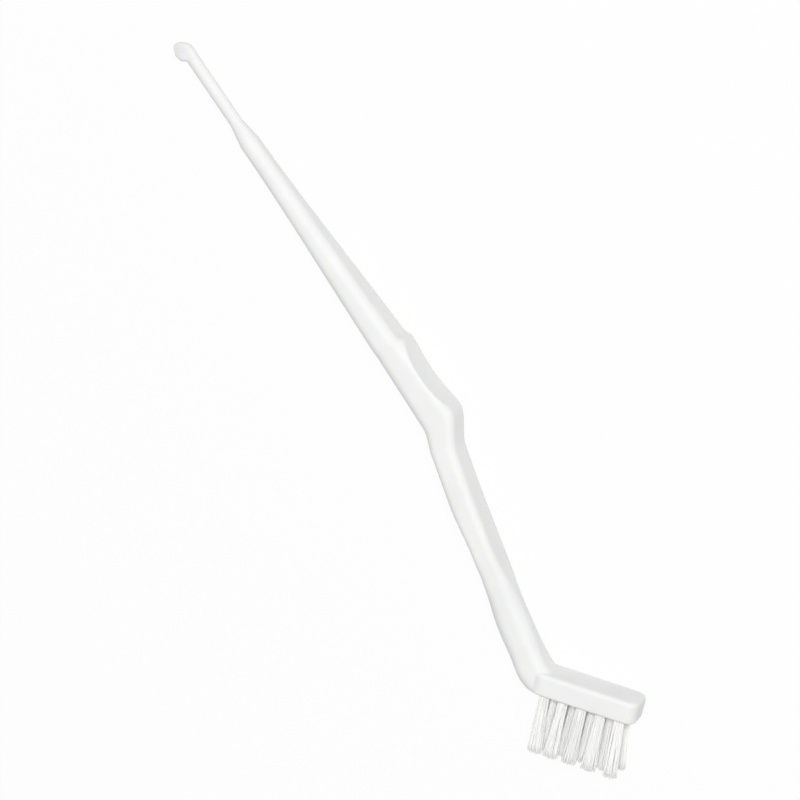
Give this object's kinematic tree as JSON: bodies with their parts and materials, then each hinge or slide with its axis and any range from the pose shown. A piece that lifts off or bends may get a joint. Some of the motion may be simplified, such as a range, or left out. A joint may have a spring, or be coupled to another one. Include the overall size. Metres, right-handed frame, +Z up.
{
  "type": "crevice brush",
  "caption": "Narrow white cleaning brush: angled head of stiff bristle tufts, waisted neck, dished thumb rest with stop, tapering grip and hooked scraper pick at the tail.",
  "frame": {"origin": "middle of the head plate's lower side face, with the brush lying on its side", "axes": "+X along the handle from the tail pick to the head, +Y towards the back of the brush where the thumb rests, +Z up from the face it lies on to the opposite side"},
  "size_m": [0.2191, 0.0349, 0.012],
  "materials": {
    "moulding": "white moulded plastic with a satin surface",
    "bristle": "white nylon filament, slightly translucent",
    "anchor_wire": "bright drawn flat wire"
  },
  "bodies": {
    "root": {"handle": "moulding", "tuft_left_1": "bristle", "tuft_left_2": "bristle", "tuft_left_3": "bristle", "tuft_left_4": "bristle", "tuft_left_5": "bristle", "tuft_middle_1": "bristle", "tuft_middle_2": "bristle", "tuft_middle_3": "bristle", "tuft_middle_4": "bristle", "tuft_right_1": "bristle", "tuft_right_2": "bristle", "tuft_right_3": "bristle", "tuft_right_4": "bristle", "tuft_right_5": "bristle", "anchor_left_1": "anchor_wire", "anchor_left_2": "anchor_wire", "anchor_left_3": "anchor_wire", "anchor_left_4": "anchor_wire", "anchor_left_5": "anchor_wire", "anchor_middle_1": "anchor_wire", "anchor_middle_2": "anchor_wire", "anchor_middle_3": "anchor_wire", "anchor_middle_4": "anchor_wire", "anchor_right_1": "anchor_wire", "anchor_right_2": "anchor_wire", "anchor_right_3": "anchor_wire", "anchor_right_4": "anchor_wire", "anchor_right_5": "anchor_wire"}
  },
  "joints": []
}
